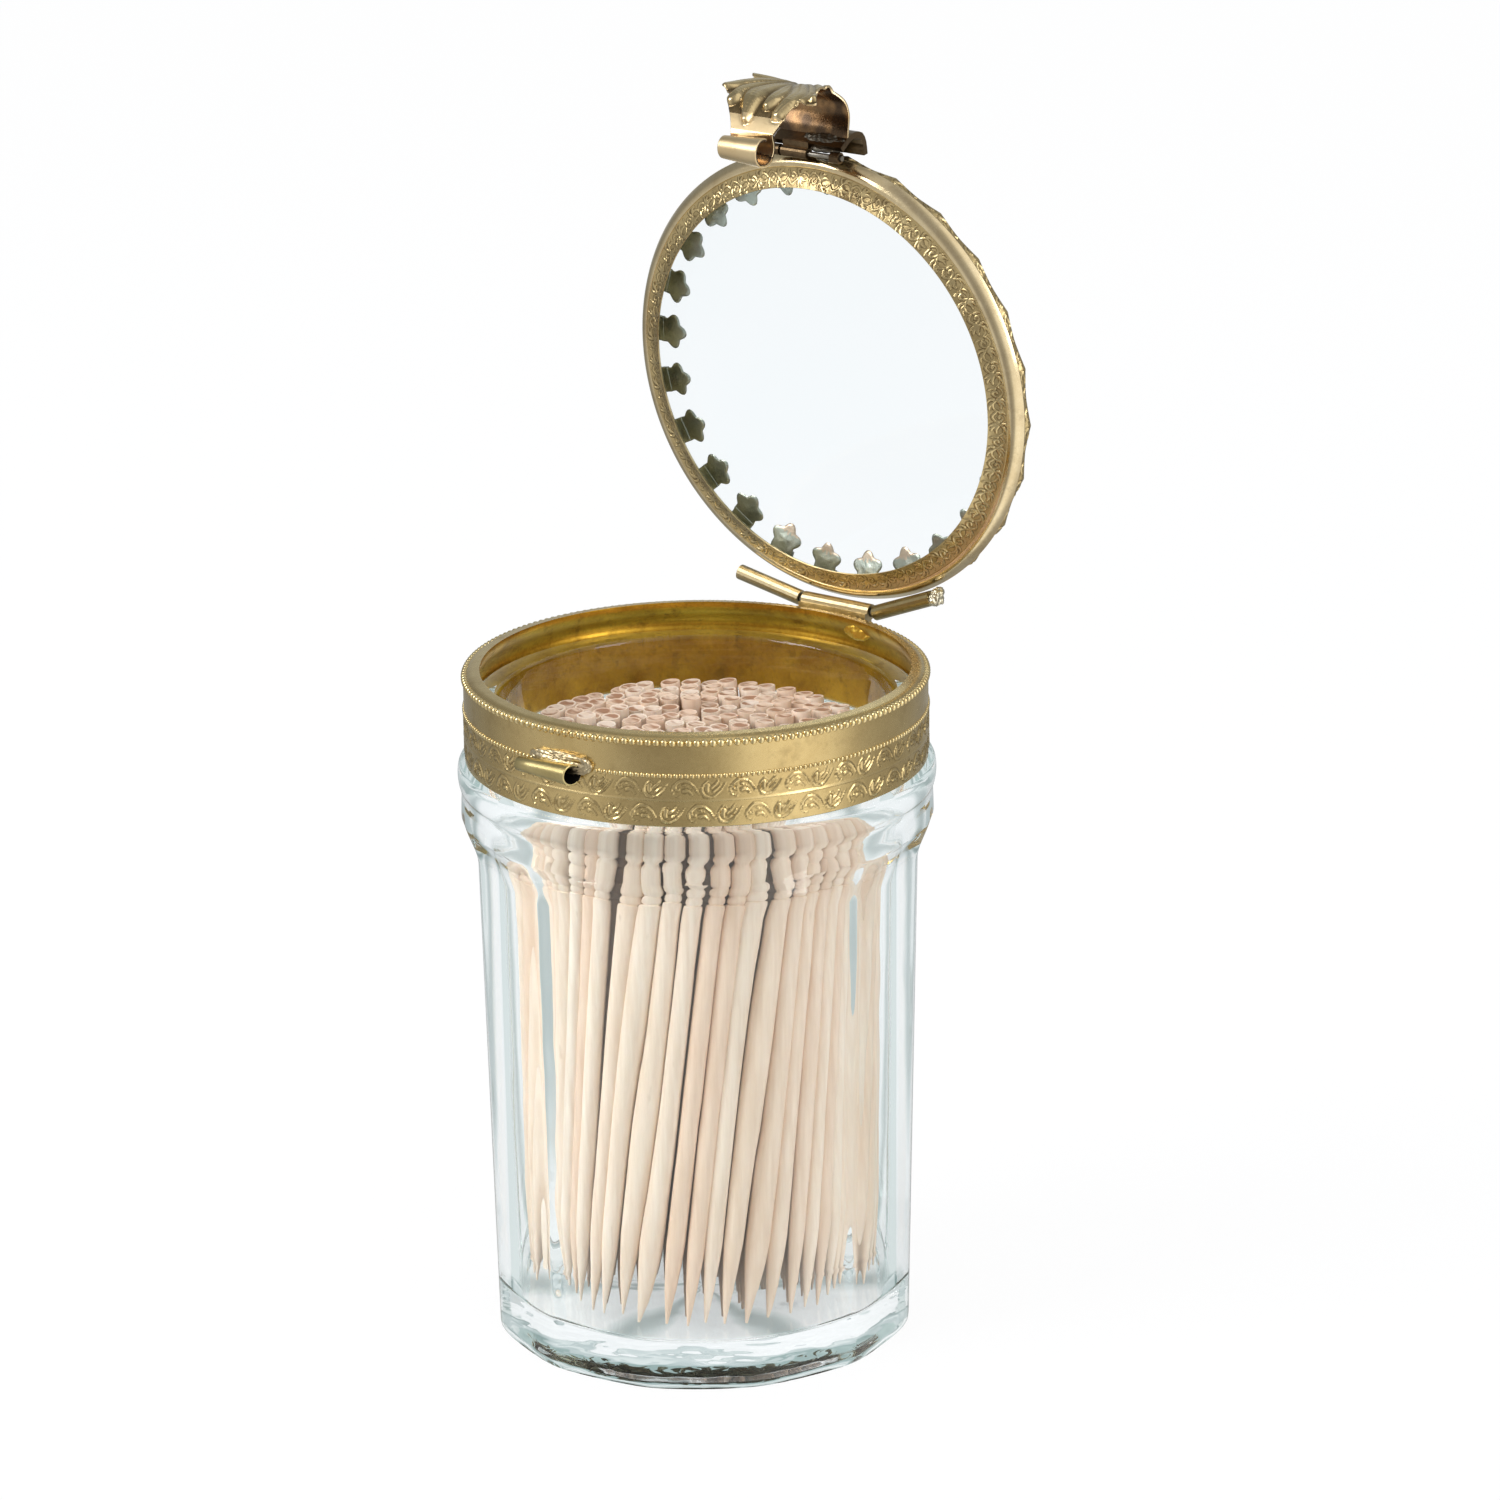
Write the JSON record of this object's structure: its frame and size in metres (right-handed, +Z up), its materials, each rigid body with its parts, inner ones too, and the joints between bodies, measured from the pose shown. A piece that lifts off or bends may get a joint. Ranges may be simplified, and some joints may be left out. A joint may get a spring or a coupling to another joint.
{
  "type": "toothpick dispenser",
  "caption": "Pressed glass jar in a brass collar, full of wooden toothpicks, with a glazed brass lid on a back hinge and a hinged leaf hasp.",
  "frame": {"origin": "centre of the jar's flat foot, on the surface it stands on", "axes": "+Z up, -Y towards the catch and the hasp at the front, +Y towards the lid's hinge at the back, +X to the right"},
  "size_m": [0.0538, 0.0589, 0.1404],
  "materials": {
    "jar_glass": "clear pressed glass",
    "lid_glass": "clear polished glass",
    "collar_brass": "aged gilt brass with chased scrolls",
    "ring_brass": "aged gilt brass, engraved face",
    "gallery_brass": "dull grey green patina",
    "leaf_brass": "embossed leaf, warm worn gilding",
    "hinge_brass": "pale worn brass",
    "pin_wire": "dull drawn wire",
    "pale_wood": "bare pale hardwood"
  },
  "bodies": {
    "jar": {"glass_jar": "jar_glass", "collar_band": "collar_brass", "catch_tube": "collar_brass", "catch_saddle": "collar_brass", "hinge_knuckle_collar": "hinge_brass", "toothpick_row_01": "pale_wood", "toothpick_row_02": "pale_wood", "toothpick_row_03": "pale_wood", "toothpick_row_04": "pale_wood", "toothpick_row_05": "pale_wood", "toothpick_row_06": "pale_wood", "toothpick_row_07": "pale_wood", "toothpick_row_08": "pale_wood"},
    "lid": {"lid_ring": "ring_brass", "lid_glass": "lid_glass", "lid_gallery": "gallery_brass", "hinge_knuckle_left": "hinge_brass", "hinge_knuckle_right": "hinge_brass", "hinge_pin": "pin_wire", "clasp_pin": "pin_wire", "clasp_lug_left": "leaf_brass", "clasp_lug_right": "leaf_brass"},
    "clasp": {"clasp_leaf": "leaf_brass", "clasp_foot": "leaf_brass"}
  },
  "joints": [
    {"name": "lid_hinge", "type": "hinge", "parent": "jar", "child": "lid", "pos_m": [0, 0.02738, 0.078], "axis": [-1, 0, 0], "range_deg": [-84.45, 25.55]},
    {"name": "hasp_hinge", "type": "hinge", "parent": "lid", "child": "clasp", "pos_m": [0, 0.02187, 0.13215], "axis": [-1, 0, 0], "range_deg": [-8.5, 18]}
  ]
}
